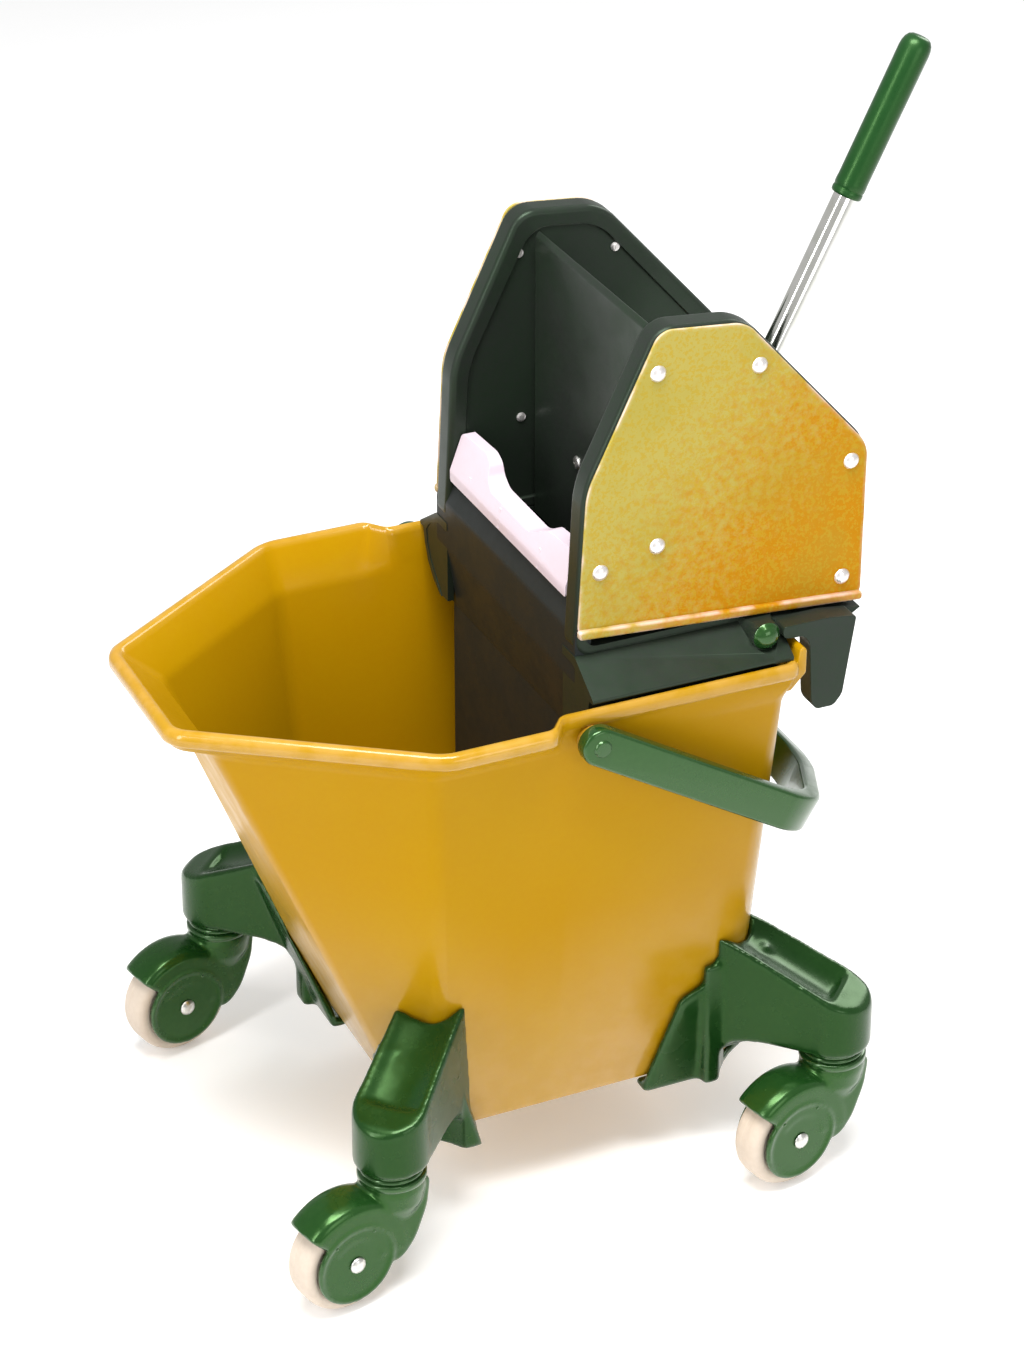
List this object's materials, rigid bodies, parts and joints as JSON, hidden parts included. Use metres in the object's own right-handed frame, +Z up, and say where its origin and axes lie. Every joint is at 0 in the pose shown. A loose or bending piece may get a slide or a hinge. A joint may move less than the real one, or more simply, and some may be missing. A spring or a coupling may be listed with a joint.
{
  "type": "mop bucket with wringer",
  "caption": "Wheeled mopping bucket with a pouring spout, carrying bail, swivel casters and a lift-off lever press wringer.",
  "frame": {"origin": "on the floor, midway between the four caster swivel axes", "axes": "+Z up, -X towards the spout, +X towards the wringer and its lever, -Y to the left side"},
  "size_m": [0.592, 0.4026, 0.7883],
  "materials": {
    "bucket_yellow": "satin moulded polypropylene, fine grain",
    "green_plastic": "glossy moulded plastic",
    "black_plastic": "satin moulded plastic",
    "jaw_white": "smooth white moulded plastic",
    "wheel_cream": "non-marking cream polymer",
    "hub_cream": "moulded nylon",
    "passivated_steel": "yellow passivated zinc plate, mottled",
    "rivet_zinc": "bright zinc",
    "zinc_steel": "bright zinc",
    "tube_chrome": "polished chrome plate",
    "bush_ivory": "acetal",
    "sleeve_grey": "nylon",
    "spring_steel": "oiled spring steel"
  },
  "bodies": {
    "bucket": {"bucket": "bucket_yellow", "stem_sleeves": "sleeve_grey", "bail_pins": "zinc_steel", "leg_front_left": "green_plastic", "leg_front_right": "green_plastic", "leg_rear_left": "green_plastic", "leg_rear_right": "green_plastic"},
    "bail": {"bail_handle": "green_plastic"},
    "caster_front_left": {"fork_front_left": "green_plastic", "stem_front_left": "zinc_steel", "swivel_washer_front_left": "green_plastic", "axle_front_left": "zinc_steel"},
    "wheel_front_left": {"hub_front_left": "hub_cream", "tread_front_left": "wheel_cream"},
    "caster_front_right": {"fork_front_right": "green_plastic", "stem_front_right": "zinc_steel", "swivel_washer_front_right": "green_plastic", "axle_front_right": "zinc_steel"},
    "wheel_front_right": {"hub_front_right": "hub_cream", "tread_front_right": "wheel_cream"},
    "caster_rear_left": {"fork_rear_left": "green_plastic", "stem_rear_left": "zinc_steel", "swivel_washer_rear_left": "green_plastic", "axle_rear_left": "zinc_steel"},
    "wheel_rear_left": {"hub_rear_left": "hub_cream", "tread_rear_left": "wheel_cream"},
    "caster_rear_right": {"fork_rear_right": "green_plastic", "stem_rear_right": "zinc_steel", "swivel_washer_rear_right": "green_plastic", "axle_rear_right": "zinc_steel"},
    "wheel_rear_right": {"hub_rear_right": "hub_cream", "tread_rear_right": "wheel_cream"},
    "wringer": {"wringer_frame": "black_plastic", "side_plate_left": "passivated_steel", "side_plate_right": "passivated_steel", "rivets_left": "rivet_zinc", "rivets_right": "rivet_zinc", "front_jaw": "jaw_white", "pivot_bushes": "bush_ivory", "pivot_caps": "green_plastic", "return_spring_left": "spring_steel", "return_spring_right": "spring_steel"},
    "press": {"press_plate": "black_plastic", "press_hub": "black_plastic", "press_screws": "zinc_steel", "pivot_rod": "zinc_steel", "lever_tube": "tube_chrome", "lever_grip": "green_plastic", "lever_bolt": "zinc_steel"}
  },
  "joints": [
    {"name": "bail_swing", "type": "hinge", "parent": "bucket", "child": "bail", "pos_m": [-0.014, 0, 0.39], "axis": [0, -1, 0], "range_deg": [0, 17]},
    {"name": "swivel_front_left", "type": "hinge", "parent": "bucket", "child": "caster_front_left", "pos_m": [-0.173, -0.171, 0.102], "axis": [0, 0, 1], "continuous": true},
    {"name": "roll_front_left", "type": "hinge", "parent": "caster_front_left", "child": "wheel_front_left", "pos_m": [-0.21402, -0.18002, 0.04], "axis": [0.2147, -0.9767, 0], "continuous": true},
    {"name": "swivel_front_right", "type": "hinge", "parent": "bucket", "child": "caster_front_right", "pos_m": [-0.173, 0.171, 0.102], "axis": [0, 0, 1], "continuous": true},
    {"name": "roll_front_right", "type": "hinge", "parent": "caster_front_right", "child": "wheel_front_right", "pos_m": [-0.21402, 0.16198, 0.04], "axis": [0.2147, -0.9767, 0], "continuous": true},
    {"name": "swivel_rear_left", "type": "hinge", "parent": "bucket", "child": "caster_rear_left", "pos_m": [0.173, -0.171, 0.102], "axis": [0, 0, 1], "continuous": true},
    {"name": "roll_rear_left", "type": "hinge", "parent": "caster_rear_left", "child": "wheel_rear_left", "pos_m": [0.13198, -0.18002, 0.04], "axis": [0.2147, -0.9767, 0], "continuous": true},
    {"name": "swivel_rear_right", "type": "hinge", "parent": "bucket", "child": "caster_rear_right", "pos_m": [0.173, 0.171, 0.102], "axis": [0, 0, 1], "continuous": true},
    {"name": "roll_rear_right", "type": "hinge", "parent": "caster_rear_right", "child": "wheel_rear_right", "pos_m": [0.13198, 0.16198, 0.04], "axis": [0.2147, -0.9767, 0], "continuous": true},
    {"name": "wringer_lift", "type": "slide", "parent": "bucket", "child": "wringer", "axis": [0, 0, 1], "range_m": [0, 0.22]},
    {"name": "press_swing", "type": "hinge", "parent": "wringer", "child": "press", "pos_m": [0.125, 0, 0.428], "axis": [0, -1, 0], "range_deg": [0, 23], "stiffness_Nm_per_rad": 8, "springref_deg": -20.05}
  ]
}
